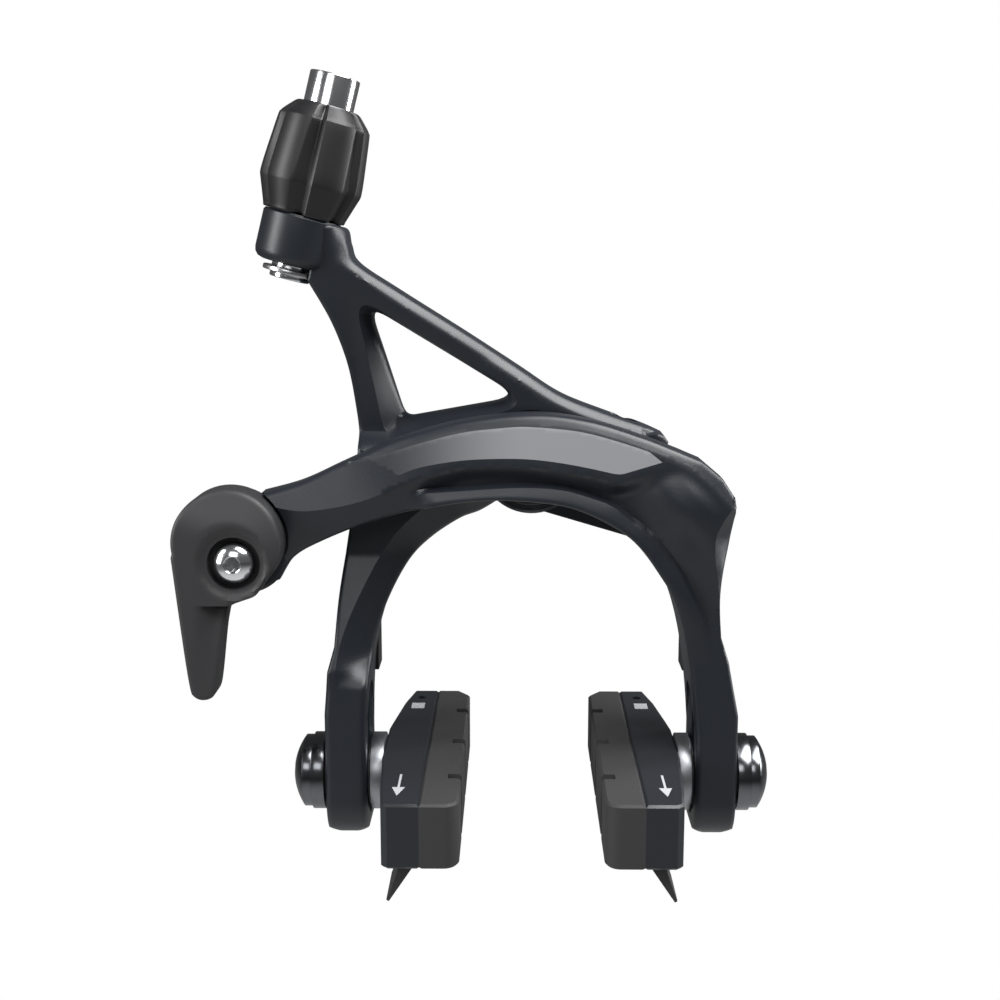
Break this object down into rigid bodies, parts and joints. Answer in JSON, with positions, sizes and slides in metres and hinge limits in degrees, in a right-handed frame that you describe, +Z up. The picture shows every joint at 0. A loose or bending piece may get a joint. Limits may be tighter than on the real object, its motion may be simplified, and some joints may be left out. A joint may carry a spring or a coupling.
{
  "type": "rim brake caliper",
  "caption": "Dual pivot rim brake caliper for a road bicycle, with a barrel adjuster, an eccentric quick release and adjustable brake shoes.",
  "frame": {"origin": "on the mounting bolt's axis, in the plane of the rear mounting face", "axes": "+X to the right seen from the front, +Y back along the mounting bolt towards the fork, +Z up"},
  "size_m": [0.0894, 0.063, 0.1175],
  "materials": {
    "anodised": "satin dark grey blue finish on forged aluminium",
    "steel": "brushed",
    "bright_steel": "polished",
    "dark_chrome": "dark polished",
    "black_steel": "blackened",
    "bronze": "sintered bronze",
    "nylon": "natural nylon",
    "satin_aluminium": "satin",
    "knob_black": "satin black",
    "lever_black": "satin black",
    "holder_black": "satin dark grey blue",
    "pad_rubber": "matte"
  },
  "bodies": {
    "mount": {"mounting_bolt": "steel", "serrated_washer": "black_steel", "pivot_bracket": "anodised", "centre_nut": "black_steel", "rear_thrust_washer": "nylon", "front_thrust_washer": "knob_black", "side_pivot_bolt": "steel", "side_thrust_washer": "nylon", "return_spring": "steel"},
    "front_arm": {"front_arm": "anodised", "side_bush": "bronze", "spring_seat_right": "knob_black"},
    "rear_arm": {"rear_arm": "anodised", "centre_bush": "bronze", "link_pin": "steel", "link_bush": "nylon", "spring_seat_left": "knob_black", "barrel_adjuster": "bright_steel", "barrel_clip": "steel", "ferrule_seat": "knob_black"},
    "centring_screw": {"centring_screw": "steel"},
    "adjuster_knob": {"adjuster_knob": "knob_black"},
    "lever": {"quick_release_lever": "lever_black"},
    "anchor": {"anchor_bolt": "bright_steel", "anchor_washer": "steel", "anchor_nut": "black_steel"},
    "left_washers": {"ball_washers_left": "black_steel"},
    "left_bolt": {"pad_bolt_left": "dark_chrome", "cup_washers_left": "satin_aluminium"},
    "left_shoe": {"shoe_holder_left": "holder_black", "brake_pad_left": "pad_rubber", "pad_screw_left": "steel", "wheel_guide_left": "lever_black"},
    "right_washers": {"ball_washers_right": "black_steel"},
    "right_bolt": {"pad_bolt_right": "dark_chrome", "cup_washers_right": "satin_aluminium"},
    "right_shoe": {"shoe_holder_right": "holder_black", "brake_pad_right": "pad_rubber", "pad_screw_right": "steel", "wheel_guide_right": "lever_black"}
  },
  "joints": [
    {"name": "front_arm_pivot", "type": "hinge", "parent": "mount", "child": "front_arm", "pos_m": [0.022, -0.013, -0.006], "axis": [0, 1, 0], "range_deg": [-6, 3], "stiffness_Nm_per_rad": 0.9, "springref_deg": -7.45, "deforming": ["return_spring"]},
    {"name": "rear_arm_pivot", "type": "hinge", "parent": "mount", "child": "rear_arm", "pos_m": [0, -0.009, 0], "axis": [0, 1, 0], "range_deg": [-2.7, 5.4], "deforming": ["return_spring"]},
    {"name": "quick_release", "type": "hinge", "parent": "front_arm", "child": "lever", "pos_m": [-0.0444, -0.02, -0.01], "axis": [0, 1, 0], "range_deg": [0, 110]},
    {"name": "anchor_turn", "type": "hinge", "parent": "lever", "child": "anchor", "pos_m": [-0.04333, -0.02, -0.0128], "axis": [0, 1, 0], "range_deg": [-110, 0]},
    {"name": "knob_turn", "type": "hinge", "parent": "rear_arm", "child": "adjuster_knob", "pos_m": [-0.0339, -0.0125, 0.037], "axis": [0.2504, 0, 0.9681], "range_deg": [-360, 360]},
    {"name": "centring_turn", "type": "hinge", "parent": "rear_arm", "child": "centring_screw", "pos_m": [0.0142, -0.009, 0.002], "axis": [0, 0, 1], "range_deg": [-180, 180]},
    {"name": "left_shoe_height", "type": "slide", "parent": "rear_arm", "child": "left_washers", "axis": [0, 0, 1], "range_m": [-0.003, 0.006]},
    {"name": "left_shoe_toe", "type": "hinge", "parent": "left_washers", "child": "left_bolt", "pos_m": [-0.0284, -0.013, -0.049], "axis": [0, 0, 1], "range_deg": [-3, 3]},
    {"name": "left_shoe_tilt", "type": "hinge", "parent": "left_bolt", "child": "left_shoe", "pos_m": [-0.0284, -0.013, -0.049], "axis": [1, 0, 0], "range_deg": [-12, 12]},
    {"name": "right_shoe_height", "type": "slide", "parent": "front_arm", "child": "right_washers", "axis": [0, 0, 1], "range_m": [-0.003, 0.006]},
    {"name": "right_shoe_toe", "type": "hinge", "parent": "right_washers", "child": "right_bolt", "pos_m": [0.0284, -0.013, -0.049], "axis": [0, 0, 1], "range_deg": [-3, 3]},
    {"name": "right_shoe_tilt", "type": "hinge", "parent": "right_bolt", "child": "right_shoe", "pos_m": [0.0284, -0.013, -0.049], "axis": [1, 0, 0], "range_deg": [-12, 12]}
  ],
  "couplings": [
    {"joint": "rear_arm_pivot", "follows": "front_arm_pivot", "ratio": -0.878},
    {"joint": "anchor_turn", "follows": "quick_release", "ratio": -1}
  ]
}
